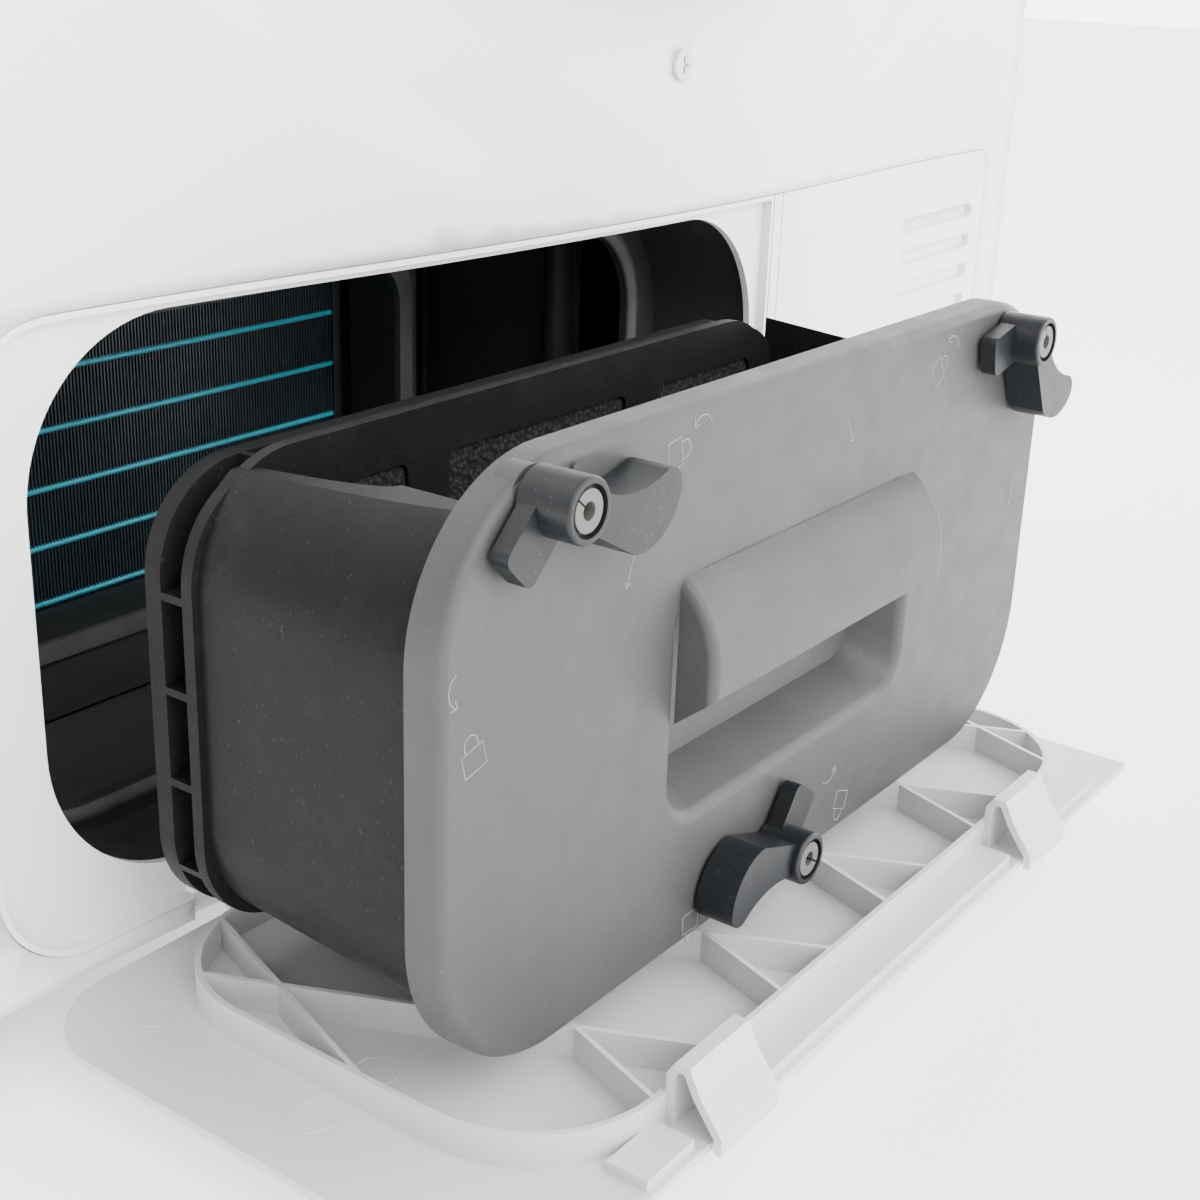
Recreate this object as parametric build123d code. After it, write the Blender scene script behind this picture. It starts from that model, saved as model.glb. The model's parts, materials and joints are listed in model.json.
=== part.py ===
from build123d import *
from math import asin, atan, cos, degrees, hypot, sqrt
import os

# Front-loading heat-pump tumble dryer, standing on its feet, with its plinth flap open and its
# air-filter cartridge drawn out. Millimetres, +Z up, +X to the right of someone facing the machine,
# +Y into the machine. Inside this file Y = 0 is the foremost line of the bowed front. When a part is
# written it is moved by SHIFT_Y, which puts the origin under the middle of the whole box, on the floor.

os.makedirs("parts", exist_ok=True)

# Cabinet
WIDTH = 595.0
HEIGHT = 845.0
DEPTH = 600.0
REACH = 157.0                    # how far the open flap stands out in front of Y = 0
SHIFT_Y = -(DEPTH - REACH) / 2
SHEET = 2.0
CABINET_Z = 18.0                 # lower edge of the sheet metal
WORKTOP_Z = 823.0
FASCIA_Z = 738.0                 # lower edge of the control fascia
BACK_Y = 592.0

# Bow of the front in plan: a middle arc, two tangent counter arcs and two flats
BOW_R = 1553.0
BOW_X = 150.0
FLAT_X = 265.0
COUNTER_R = (FLAT_X - BOW_X) * BOW_R / BOW_X
BOW_COS = cos(asin(BOW_X / BOW_R))
FLAT_Y = (BOW_R + COUNTER_R) * (1 - BOW_COS)

# Plinth: recess for the flap, filter opening, louvre cover
RECESS_X = (-267.0, 67.2)
RECESS_Z = (24.0, 193.0)
RECESS_R = 28.0
RECESS_DEEP = 3.5
OPEN_X = (-246.6, 60.4)
OPEN_Z = (36.4, 188.9)
OPEN_R = 45.0
LOUVRE_X = (73.8, 270.0)
SLOT_X = (188.0, 260.0)
SLOT_Z = [167.0 - 13.3 * i for i in range(9)]
SLOT_H = 6.0
SLEEVE_BACK = 48.0
PASS_X = (-241.5, 44.0)
PASS_Z = (45.0, 179.0)
BULKHEAD_Y = 131.6

# Flap, lying open
FLAP_X = (-266.3, 66.8)
FLAP_Y = (-153.7, 9.5)
FLAP_Z = (14.2, 16.6)
RIB_TOP = 25.6
RIB_STEP = 58.0
HINGE_Y = 12.1
HINGE_Z = 25.7
HINGE_ARMS = (-190.0, 30.0)
HOOKS_X = (-184.0, -9.0)

# Filter cartridge, drawn out
COVER_X = (-243.3, 56.2)
COVER_Z = (28.9, 177.4)
COVER_R = 42.0
COVER_Y = (-110.8, -100.8)
RIM_X = (-239.0, 20.0)
RIM_TOP = 161.0
TRAVEL_Y = 146.8
TRAVEL_Z = 11.0
SLOPE = TRAVEL_Z / TRAVEL_Y
WALL_Y = (-32.0, -28.5)
RIM_Y = (-28.5, -16.0)
CHANNEL_Y = (-28.5, -21.3)
WINDOW_Z = (62.0, 150.3)
WINDOWS = ((-217.5, -165.1), (-149.0, -68.6), (-52.0, 1.0))
GRIP_X = (-155.3, -31.5)
GRIP_Z = (67.0, 132.0)
GRIP_DEEP = 14.8
HOOD_TOP = 135.0
HOOD_EDGE = 105.5
HOOD_FOOT = 96.6
HOOD_OUT = 11.2

# Turn latches: hub centre on the cover, and how far each one is turned from the first
LATCHES = ((-213.4, 169.2, 0.0), (20.0, 167.0, -33.0), (-104.9, 42.4, 189.0))
HUB_R = 7.5
POST_R = 4.55

# Drum and door
DOOR_Z = 495.0
DOOR_R = 229.0
PORT_R = 190.0
DRUM_R = 268.0
DRUM_Y = (76.0, 544.0)
DOOR_AXIS = (244.0, -14.0)

# Drive
SHAFT_X = 190.0
SHAFT_Z = 130.0
PULLEY_R = 12.0
BELT_Y = (238.0, 248.0)
FAN_R = 74.0
FAN_Y = (405.0, 495.0)
ROLLER_X = 150.0
ROLLER_R = 24.0
ROLLER_Y = (510.0, 532.0)

# Fascia
KNOB = (0.0, 780.0)
TANK_X = (-288.0, -125.0)
TANK_Z = (742.0, 812.0)
BUTTONS = (("start_button", 236.0, 11.0), ("option_button_1", 176.0, 7.0), ("option_button_2", 200.0, 7.0))
FEET = ((-275.0, 62.0), (275.0, 62.0), (-275.0, 545.0), (275.0, 545.0))


def bow(x):
    """How far behind Y = 0 the front skin lies at a given X."""
    x = abs(x)
    if x <= BOW_X:
        return BOW_R - sqrt(BOW_R**2 - x**2)
    inner = max(FLAT_X - x, 0.0)
    return FLAT_Y - COUNTER_R + sqrt(COUNTER_R**2 - inner**2)


def block(x, y, z):
    """Box between pairs of limits."""
    size = (x[1] - x[0], y[1] - y[0], z[1] - z[0])
    return Pos((x[0] + x[1]) / 2, (y[0] + y[1]) / 2, (z[0] + z[1]) / 2) * Box(*size)


def rod_y(x, z, radius, y):
    return Pos(x, (y[0] + y[1]) / 2, z) * Rot(90, 0, 0) * Cylinder(radius, y[1] - y[0])


def rod_z(x, y, radius, z):
    return Pos(x, y, (z[0] + z[1]) / 2) * Cylinder(radius, z[1] - z[0])


def rod_x(y, z, radius, x):
    return Pos((x[0] + x[1]) / 2, y, z) * Rot(0, 90, 0) * Cylinder(radius, x[1] - x[0])


def prism(sketch, y):
    """A sketch in X and Z, extruded between two Y values."""
    return extrude(Pos(0, y[1], 0) * (Plane.XZ * sketch), amount=y[1] - y[0])


def rounded(x, z, radius):
    """Rounded rectangle in X and Z."""
    width, height = x[1] - x[0], z[1] - z[0]
    return Pos((x[0] + x[1]) / 2, (z[0] + z[1]) / 2) * RectangleRounded(width, height, radius)


def grown(pair, by):
    return (pair[0] - by, pair[1] + by)


def bow_edges(shift, half=WIDTH / 2):
    """The front curve in plan, from -half to half, moved back by shift."""
    def at(x):
        return (x, bow(x) + shift)
    edges = [Line(at(-half), at(-FLAT_X))] if half > FLAT_X else []
    for a, b in ((-FLAT_X, -BOW_X), (-BOW_X, BOW_X), (BOW_X, FLAT_X)):
        edges.append(ThreePointArc(at(a), at((a + b) / 2), at(b)))
    if half > FLAT_X:
        edges.append(Line(at(FLAT_X), at(half)))
    return edges


def bowed(front, back, z, half=WIDTH / 2):
    """A slab that follows the bow, between two offsets behind the skin and two heights."""
    near, far = bow_edges(front, half), bow_edges(back, half)
    sides = [Line(near[0] @ 0, far[0] @ 0), Line(near[-1] @ 1, far[-1] @ 1)]
    face = make_face(near + far + sides)
    return Pos(0, 0, z[0]) * extrude(face, amount=z[1] - z[0])


def save(shape, name):
    export_step(Pos(0, SHIFT_Y, 0) * shape, f"parts/{name}.step")


# ---------------------------------------------------------------- cabinet

def front_panel():
    panel = bowed(0, SHEET, (CABINET_Z, FASCIA_Z - 0.6))
    panel -= rod_y(0, DOOR_Z, PORT_R, (-20, 60))
    cut = (RECESS_X[0], LOUVRE_X[1])
    panel -= prism(rounded(cut, RECESS_Z, 8), (-20, 60)) - block((-300, -230), (-30, 70), (0, 300))
    panel -= prism(rounded((RECESS_X[0], 0), RECESS_Z, RECESS_R), (-20, 60))
    panel -= rod_y(0, 240, 2.6, (-20, 60))
    panel -= block((-222, -208), (-20, 60), (DOOR_Z - 12, DOOR_Z + 12))
    arm = HINGE_ARMS[0]
    panel -= block((arm - 16, arm + 16), (-20, 60), (CABINET_Z - 1, RECESS_Z[0] + 1))
    return panel


def flap_outline(inset, radius):
    """The flap's recess in X and Z: two round corners at the left, two nearly square at the right."""
    x, z = grown(RECESS_X, -inset), grown(RECESS_Z, -inset)
    flat = Pos((x[0] + x[1]) / 2, (z[0] + z[1]) / 2) * Rectangle(x[1] - x[0], z[1] - z[0])
    corners = flat.vertices().group_by(Axis.X)
    return fillet(corners[0], radius - inset)


def plinth_frame():
    gap = 0.4
    outer = prism(flap_outline(gap, RECESS_R), (-5, 40))
    inner = prism(flap_outline(gap + 1.6, RECESS_R), (-10, 60))
    seat = bowed(RECESS_DEEP, RECESS_DEEP + 2.5, (10, 210)) & outer
    wall = bowed(0, RECESS_DEEP + 1, (10, 210)) & (outer - inner)
    frame = seat + wall - prism(rounded(OPEN_X, OPEN_Z, OPEN_R), (-20, 60))
    for arm in HINGE_ARMS:
        frame -= block((arm - 16, arm + 16), (-20, 60), (20, 32.5))
    return frame


def hinge_lugs():
    """Ears behind the plinth that hold the flap's two hinge pins."""
    lugs = []
    for arm in HINGE_ARMS:
        for side in (-1, 1):
            x = sorted((arm + side * 5.0, arm + side * 9.0))
            ear = block(x, (HINGE_Y - 4, 24), (HINGE_Z - 4, HINGE_Z + 4))
            lugs.append(ear - rod_x(HINGE_Y, HINGE_Z, 2.05, grown(x, 1)))
    return lugs


def louvre_cover():
    gap = 0.4
    outline = rounded((LOUVRE_X[0] - 6.2, LOUVRE_X[1] - gap), grown(RECESS_Z, -gap), 7.6)
    outline += rounded((LOUVRE_X[0] - 6.2, LOUVRE_X[0] + 40), grown(RECESS_Z, -gap), 1.0)
    cover = prism(outline, (-10, 60)) & bowed(0, 2.5, (0, 220))
    groove = block((LOUVRE_X[0] - 0.4, LOUVRE_X[0] + 0.4), (-5, 60), (20, 196))
    cover -= groove & bowed(-5, 1.4, (0, 220))
    for z in SLOT_Z:
        slot = Pos(sum(SLOT_X) / 2, z) * SlotOverall(SLOT_X[1] - SLOT_X[0], SLOT_H)
        cover -= prism(slot, (-20, 60))
    return cover


def side_panel(side):
    x = sorted((side * (WIDTH / 2 - SHEET), side * WIDTH / 2))
    front = FLAT_Y + SHEET + 0.4
    panel = block(x, (front, BACK_Y), (CABINET_Z, WORKTOP_Z))
    flange = sorted((side * (WIDTH / 2 - 18), side * (WIDTH / 2 - SHEET)))
    panel += block(flange, (front, front + 1.5), (CABINET_Z, FASCIA_Z - 2))
    panel += block(flange, (BACK_Y - 1.5, BACK_Y), (CABINET_Z, WORKTOP_Z))
    return panel


def rear_panel():
    panel = block((-WIDTH / 2, WIDTH / 2), (BACK_Y + 0.4, BACK_Y + 2.4), (CABINET_Z, WORKTOP_Z))
    cover = rod_y(0, DOOR_Z, 236, (BACK_Y + 1, DEPTH)) - rod_y(0, DOOR_Z, 234, (BACK_Y, DEPTH - 2))
    panel += cover
    panel -= rod_y(0, DOOR_Z, 234, (BACK_Y, BACK_Y + 2.4))
    for i in range(9):
        panel -= block((110, 250), (BACK_Y - 5, DEPTH), (60 + 13 * i, 66 + 13 * i))
    panel -= block((-262, -210), (BACK_Y - 5, DEPTH), (700, 732))
    return panel


def worktop():
    top = bowed(0, 20, (WORKTOP_Z + 0.4, HEIGHT)) + block(
        (-WIDTH / 2, WIDTH / 2), (FLAT_Y + 1, BACK_Y + 4), (WORKTOP_Z + 0.4, HEIGHT))
    top -= block((-280, 280), (40, BACK_Y - 20), (WORKTOP_Z - 1, HEIGHT - 4))
    return fillet(top.edges().group_by(Axis.Z)[-1], 4)


def base_moulding():
    base = block((-294, 294), (26, 590), (20, 24))
    wall_z = (22, 62)
    for x in ((-294, -291), (291, 294)):
        base += block(x, (26, 590), wall_z)
    base += block((-294, 294), (587, 590), wall_z)
    base += block((78, 81), (26, 590), wall_z)
    for x, y in FEET:
        base += rod_z(x, y, 9.5, (20, 44))
        base -= rod_z(x, y, 5.05, (10, 60))
    base += [Pos(x, 330, 28) * Box(10, 60, 12) for x in (-200, -30)]
    base += rod_z(180, 134, 40, (22, 30))
    return base


def filter_sleeve():
    """Dark tube behind the plinth opening that the cartridge slides through."""
    outer = rounded(grown(OPEN_X, 4.5), grown(OPEN_Z, 4.5), OPEN_R + 4.5)
    inner = rounded(grown(OPEN_X, 1.5), grown(OPEN_Z, 1.5), OPEN_R + 1.5)
    tube = prism(outer, (-5, SLEEVE_BACK))
    collar = rounded(grown(OPEN_X, 12), grown(OPEN_Z, 7.5), OPEN_R + 8)
    tube += prism(collar, (SLEEVE_BACK - 3, SLEEVE_BACK))
    tube -= prism(inner, (-10, 60))
    flange = prism(outer, (SLEEVE_BACK, SLEEVE_BACK + 3))
    tube += flange - prism(rounded(PASS_X, PASS_Z, 30), (40, 60))
    tube -= bowed(-30, RECESS_DEEP + 2.9, (0, 220))
    tube -= block((-252, -205), (28, 38), (166, 240))
    tube -= block((8, 38), (28, 38), (166, 240))
    tube -= block((-118, -92), (28, 38), (0, 60))
    for arm in HINGE_ARMS:
        tube -= block((arm - 12, arm + 12), (-20, 25), (15, 32.5))
    return tube


def evaporator_frame():
    """Bulkhead that the cartridge's rear rim seals on, its collar, and the duct's right-hand wall."""
    thick = (BULKHEAD_Y + 2.6, BULKHEAD_Y + 5.6)
    frame = block((-262, 24), thick, (26, 200))
    frame += block((20, 63.5), thick, (26, 40)) + block((20, 63.5), thick, (180, 200))
    frame += prism(rounded((-234, 15), (51, 163), 21), (thick[0], 158))
    frame -= prism(rounded((-231, 12), (54, 160), 18), (BULKHEAD_Y - 10, 170))
    frame += block((60.5, 63.5), (84, 166), (27, 199))
    frame += rod_z(61, 92, 6.5, (27, 199)) & block((50, 63.5), (84, 101), (20, 200))
    for y in (160.5, 164.0):
        frame += block((58, 61), (y, y + 1.5), (27, 199))
    return frame


def shaft_seal():
    lip = prism(rounded((-238, 19), (47.5, 168), 24), (BULKHEAD_Y, BULKHEAD_Y + 2.6))
    return lip - prism(rounded((-231, 12), (54, 160), 18), (BULKHEAD_Y - 5, BULKHEAD_Y + 5))


def coil_block(y, x=(-236.0, 3.5), z=(44.0, 176.0)):
    """Finned block with a metal end plate on each side."""
    core = block(x, y, z)
    plates = [block(side, grown(y, 1), grown(z, 2)) for side in ((x[0] - 3, x[0]), (x[1], x[1] + 4))]
    return core, plates


def coil_bends(y_rows, x=(-239.0, 7.5), z=(44.0, 176.0), pitch=22.5):
    """Hairpin bends standing out of both end plates."""
    bends = []
    for y in y_rows:
        for pair in range(3):
            level = z[0] + 10 + 2 * pitch * pair
            for side, face in ((-1, x[0]), (1, x[1])):
                path = ThreePointArc((face, y, level), (face + side * 10, y, level + pitch / 2),
                                     (face, y, level + pitch))
                start = Plane(origin=path @ 0, z_dir=path % 0)
                bends.append(sweep(start * Circle(4.2), path=path))
    return [bend - block(x, (0, 600), (0, 300)) for bend in bends]


def compressor():
    can = rod_z(180, 134, 62, (44, 168))
    can = fillet(can.edges().sort_by(Axis.Z)[-1], 28)
    can = fillet(can.edges().sort_by(Axis.Z)[0], 14)
    for angle in (30, 150, 270):
        foot = Pos(180, 134, 0) * Rot(0, 0, angle) * Pos(66, 0, 38) * Box(34, 26, 16)
        can += foot
    can += rod_z(180, 134, 20, (160, 176))
    return can


def pipe(points, bends, radius):
    """A tube along straight runs and tangent arcs."""
    path = FilletPolyline(*points, radius=bends)
    start = Plane(origin=path @ 0, z_dir=path % 0)
    return sweep(start * Circle(radius), path=path)


def refrigerant_lines():
    suction = pipe([(180, 200, 110), (180, 222, 110), (60, 222, 110), (60, 222, 190), (-100, 222, 190)],
                   12, 4)
    delivery = pipe([(214, 190, 90), (214, 214, 90), (100, 214, 70), (32, 214, 70), (32, 290, 70)], 10, 3.5)
    return [suction, delivery]


def drum_front_support():
    """Bulkhead behind the front panel: door port, drum collar and the lint filter's well."""
    disc = rod_y(0, DOOR_Z, 276, (30, 33)) & block((-290, 290), (20, 80), (206, 735))
    support = disc + rod_y(0, DOOR_Z, 208, (30, 70)) + rod_y(0, DOOR_Z, 197, (17, 31))
    support -= rod_y(0, DOOR_Z, 193, (0, 80))
    well_z = (202, 303)
    support += block((-94, 94), (36, 66), well_z)
    support -= block((-91, 91), (39, 63), (190, 326))
    return support


def drum_rear_support():
    plate = block((-280, 280), (584, 587), (200, 700))
    hub = rod_y(0, DOOR_Z, 30, (566, 585)) - rod_y(0, DOOR_Z, 12.05, (500, 600))
    ring = rod_y(0, DOOR_Z, 40, (583, 587)) - rod_y(0, DOOR_Z, 12.05, (500, 600))
    return plate + hub + ring - rod_y(0, DOOR_Z, 12.05, (500, 600))


def drum_shell():
    front, back = DRUM_Y
    profile = Polyline((212, front), (DRUM_R, front), (DRUM_R, back), (60, back), (60, back + 8),
                       (12, back + 8), (12, 580), (0, 580), (0, back - 2), (DRUM_R - 2, back - 2),
                       (DRUM_R - 2, front + 2), (212, front + 2), close=True)
    shell = revolve(Plane.XY * make_face(profile), axis=Axis.Y)
    holes = []
    for ring in (95, 135, 175, 215):
        count = ring // 12
        for i in range(count):
            holes.append(Rot(0, 360 / count * i, 0) * rod_y(ring, 0, 5, grown(DRUM_Y, 20)))
    keep = rod_y(0, 0, DRUM_R + 5, (front - 30, back - 10))
    return Pos(0, 0, DOOR_Z) * (shell - [hole - keep for hole in holes])


def drum_lifters():
    lifters = []
    middle = (DRUM_Y[0] + DRUM_Y[1]) / 2
    for angle in (75, 195, 315):
        profile = Polyline((-24, 0), (-9, 38), (9, 38), (24, 0), close=True)
        bar = prism(make_face(profile), (middle - 190, middle + 190))
        bar = fillet(bar.edges().filter_by(Axis.Y).group_by(Axis.Z)[-1], 7)
        lifters.append(Pos(0, 0, DOOR_Z) * Rot(0, angle, 0) * Pos(0, 0, 7 - DRUM_R) * bar)
    return lifters


def drum_belt():
    """Flat belt round the drum and the motor's pulley, a hair clear of both."""
    def loop(extra):
        drum = Circle(DRUM_R + extra)
        pulley = Pos(SHAFT_X, SHAFT_Z - DOOR_Z) * Circle(PULLEY_R + extra)
        return make_hull(drum.edges() + pulley.edges())
    belt = prism(Pos(0, DOOR_Z) * loop(3.0), BELT_Y) - prism(Pos(0, DOOR_Z) * loop(0.4), grown(BELT_Y, 2))
    return belt


def motor_housing():
    body = rod_y(SHAFT_X, SHAFT_Z, 46, (270, 390)) - rod_y(SHAFT_X, SHAFT_Z, 6.05, (200, 420))
    for i in range(8):
        fin = Rot(0, 45 * i + 22.5, 0) * Pos(47, 0, 0) * Box(6, 100, 4)
        body += Pos(SHAFT_X, 330, SHAFT_Z) * fin
    mount = block((SHAFT_X - 34, SHAFT_X + 34), (285, 375), (24.2, 92))
    body += mount - rod_y(SHAFT_X, SHAFT_Z, 40, (260, 400))
    return body


def fan_housing():
    """Scroll round the process-air fan, with its outlet upwards."""
    inner_y = grown(FAN_Y, -3)
    scroll = rod_y(SHAFT_X, SHAFT_Z + 2, 92, FAN_Y)
    scroll += block((SHAFT_X - 92, SHAFT_X - 20), FAN_Y, (SHAFT_Z, 236))
    inside = rod_y(SHAFT_X, SHAFT_Z + 2, 89, inner_y)
    inside += block((SHAFT_X - 89, SHAFT_X - 23), inner_y, (SHAFT_Z, 270))
    scroll -= inside
    scroll -= rod_y(SHAFT_X, SHAFT_Z, 10, (FAN_Y[0] - 5, FAN_Y[0] + 5))
    scroll -= rod_y(SHAFT_X, SHAFT_Z, 55, (FAN_Y[1] - 5, FAN_Y[1] + 5))
    return scroll & block((SHAFT_X - 92, 290), grown(FAN_Y, 5), (25, 270))


def motor_shaft():
    return rod_y(SHAFT_X, SHAFT_Z, 6, (226, FAN_Y[1] - 18))


def drive_pulley():
    pulley = rod_y(SHAFT_X, SHAFT_Z, PULLEY_R, grown(BELT_Y, 1))
    for y in ((BELT_Y[0] - 3, BELT_Y[0] - 1), (BELT_Y[1] + 1, BELT_Y[1] + 3)):
        pulley += rod_y(SHAFT_X, SHAFT_Z, PULLEY_R + 4, y)
    return pulley - rod_y(SHAFT_X, SHAFT_Z, 6, (200, 300))


def fan_wheel():
    y = grown(FAN_Y, -14)
    wheel = rod_y(SHAFT_X, SHAFT_Z, FAN_R, (y[0], y[0] + 3)) + rod_y(SHAFT_X, SHAFT_Z, 16, (y[0], y[1] - 6))
    wheel += rod_y(SHAFT_X, SHAFT_Z, FAN_R, (y[1] - 3, y[1])) - rod_y(SHAFT_X, SHAFT_Z, 52, grown(y, 5))
    for i in range(12):
        blade = Rot(0, 30 * i, 0) * Pos(62, 0, 0) * Rot(0, 35, 0) * Box(22, y[1] - y[0] - 2, 2)
        wheel += Pos(SHAFT_X, sum(y) / 2, SHAFT_Z) * blade
    return wheel - rod_y(SHAFT_X, SHAFT_Z, 6, grown(FAN_Y, 5))


def roller_place():
    """Height of a roller that just clears the drum's underside."""
    return DOOR_Z - sqrt((DRUM_R + ROLLER_R + 0.3)**2 - ROLLER_X**2)


def roller(side):
    z = roller_place()
    wheel = rod_y(side * ROLLER_X, z, ROLLER_R, ROLLER_Y)
    return wheel - rod_y(side * ROLLER_X, z, 5.05, grown(ROLLER_Y, 5))


def roller_axles():
    z = roller_place()
    axles = []
    for side in (-1, 1):
        axle = rod_y(side * ROLLER_X, z, 5, (ROLLER_Y[0] - 3, 584))
        axle += rod_y(side * ROLLER_X, z, 9, (ROLLER_Y[0] - 5, ROLLER_Y[0] - 1))
        axle += rod_y(side * ROLLER_X, z, 12, (ROLLER_Y[1] + 1, ROLLER_Y[1] + 6))
        axles.append(axle)
    return axles


def condensate_pump():
    pump = rod_z(-150, 470, 30, (25, 70)) + rod_z(-150, 470, 18, (70, 110))
    pump += rod_x(470, 48, 6, (-150, -105))
    hose = pipe([(-150, 470, 109), (-150, 470, 150), (-150, 572, 150), (-240, 572, 300), (-240, 572, 700)],
                16, 5)
    return [pump, hose]


def control_panel():
    """Fascia above the door, with the shelf that the water tank slides on."""
    fascia = bowed(0, SHEET, (FASCIA_Z, WORKTOP_Z))
    tank = prism(rounded(grown(TANK_X, 1), grown(TANK_Z, 1), 4), (-20, 60))
    fascia -= tank
    fascia -= rod_y(KNOB[0], KNOB[1], 3.05, (-20, 60))
    fascia -= block((62, 150), (-20, 60), (766, 798))
    for _, x, radius in BUTTONS:
        fascia -= rod_y(x, 782, radius + 0.4, (-20, 60))
    fascia += block((-290, -122), (bow(-206) + 2, 490), (TANK_Z[0] - 3.4, TANK_Z[0] - 1))
    return fascia


def display_window():
    return (block((62.3, 149.7), (-20, 60), (766.3, 797.7))) & bowed(0.4, 2.4, (760, 800))


def control_board():
    return block((-60, 262), (24, 26), (748, 812))


def mains_inlet():
    inlet = block((-259, -213), (560, BACK_Y + 5.4), (703, 729))
    inlet += block((-266, -206), (BACK_Y + 2.4, BACK_Y + 4.4), (696, 736))
    return inlet - block((-250, -222), (BACK_Y - 14, BACK_Y + 10), (708, 724))


def panel_screws():
    screw = rod_y(0, 240, 4.6, (-1.6, 0)) + rod_y(0, 240, 2.5, (-0.4, 12))
    screw -= block((-2.6, 2.6), (-2, -0.8), (239.5, 240.5)) + block((-0.5, 0.5), (-2, -0.8), (237.4, 242.6))
    back = []
    for x in (-286, 286):
        for z in (40, 300, 560, 805):
            back.append(rod_y(x, z, 4.2, (BACK_Y + 2.4, BACK_Y + 4.6)))
    return [screw] + back


def foot(x, y):
    pad = fillet(rod_z(x, y, 19, (0, 8)).edges().sort_by(Axis.Z)[-1], 2)
    return pad + rod_z(x, y, 5, (7, 56)) + extrude(Pos(x, y, 8) * RegularPolygon(9, 6), amount=5)


# ---------------------------------------------------------------- flap

def flap_hook(x):
    """A folded snap latch on the flap's free edge."""
    path = Polyline((-141.9, FLAP_Z[1] - 0.5), (-141.9, 30.5), (-143.6, 33.2), (-146.4, 33.2),
                    (-149.6, 27.0), (-155.9, 18.5), (-155.9, 14.4))
    fold = trace(path, line_width=2.2)
    strip = Pos(x, 0, 0) * extrude(Plane.YZ * fold, amount=13, both=True)
    strip += block((x - 11, x + 11), (-157.0, -154.8), (14.4, 17.5))
    return strip


def flap_ribs():
    """Rounded rib with a skewed lattice inside it."""
    ring_x, ring_y = (-238.0, 57.0), (-141.0, -1.0)
    height = RIB_TOP - FLAP_Z[1]
    inside = extrude(rounded(grown(ring_x, -1.6), grown(ring_y, -1.6), 36.4), amount=height)
    lattice = extrude(rounded(ring_x, ring_y, 38), amount=height) - inside
    for lean, start, ends in ((0.36, -143.0, (-2, 4)), (-0.47, -116.0, (-1, 4))):
        for k in range(*ends):
            middle = (start + RIB_STEP * k + 70 * lean, -71, height / 2)
            bar = Pos(*middle) * Rot(0, 0, -degrees(atan(lean))) * Box(1.4, 170, height)
            lattice += bar & inside
    return Pos(0, 0, FLAP_Z[1]) * lattice


def flap_panel():
    outline = rounded(FLAP_X, FLAP_Y, RECESS_R - 1)
    outline += rounded((-100, FLAP_X[1]), FLAP_Y, 1.5)
    flap = Pos(0, 0, FLAP_Z[0]) * extrude(outline, amount=FLAP_Z[1] - FLAP_Z[0])
    flap += flap_ribs()
    ledge = (FLAP_Z[1] - 0.2, FLAP_Z[1] + 3)
    for x in ((-220, HOOKS_X[0] - 17), (HOOKS_X[0] + 17, HOOKS_X[1] - 17), (HOOKS_X[1] + 17, 40)):
        flap += block(x, (-152, -140.5), ledge)
    for x in HOOKS_X:
        flap += flap_hook(x)
    for arm in HINGE_ARMS:
        side = (arm - 4, arm + 4)
        knuckle = rod_x(HINGE_Y, HINGE_Z, 4.2, side) + block(side, (3.5, HINGE_Y), (FLAP_Z[1] - 0.2, 21))
        knuckle += block(side, (8.2, 15.5), (18.5, HINGE_Z))
        flap += knuckle - rod_x(HINGE_Y, HINGE_Z, 2.0, grown(side, 1))
    return flap


def flap_hinge_pins():
    return [rod_x(HINGE_Y, HINGE_Z, 2.0, (arm - 10, arm + 10)) for arm in HINGE_ARMS]


# ---------------------------------------------------------------- filter cartridge

def hood_section(top, out, foot):
    """Section of the grip's hood: bulging front, upright lip and a sloping underside."""
    bulge = ThreePointArc((0, top), (-out * 0.74, top - 9.5), (-out, 112))
    lip = Line((-out, 112), (-out, HOOD_EDGE))
    under = Line((-out, HOOD_EDGE), (0, foot))
    return Plane.YZ * make_face([bulge, lip, under, Line((0, foot), (0, top))])


def grip_hood():
    """Pod over the grip pocket: closed at both ends, open below."""
    width = GRIP_X[1] - GRIP_X[0]
    pod = Pos(GRIP_X[0], 0, 0) * extrude(hood_section(HOOD_TOP, HOOD_OUT, HOOD_FOOT), amount=width)
    ends = pod.edges().filter_by(GeomType.CIRCLE)
    pod = fillet(ends, 2.6)
    room = Pos(GRIP_X[0] + 3, 0, 0) * extrude(
        hood_section(HOOD_TOP - 3, HOOD_OUT - 2.6, HOOD_FOOT), amount=width - 6)
    room += block((GRIP_X[0] + 3, GRIP_X[1] - 3), (-HOOD_OUT + 2.6, 1), (90, HOOD_EDGE + 3))
    return Pos(0, COVER_Y[0], 0) * (pod - room)


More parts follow.
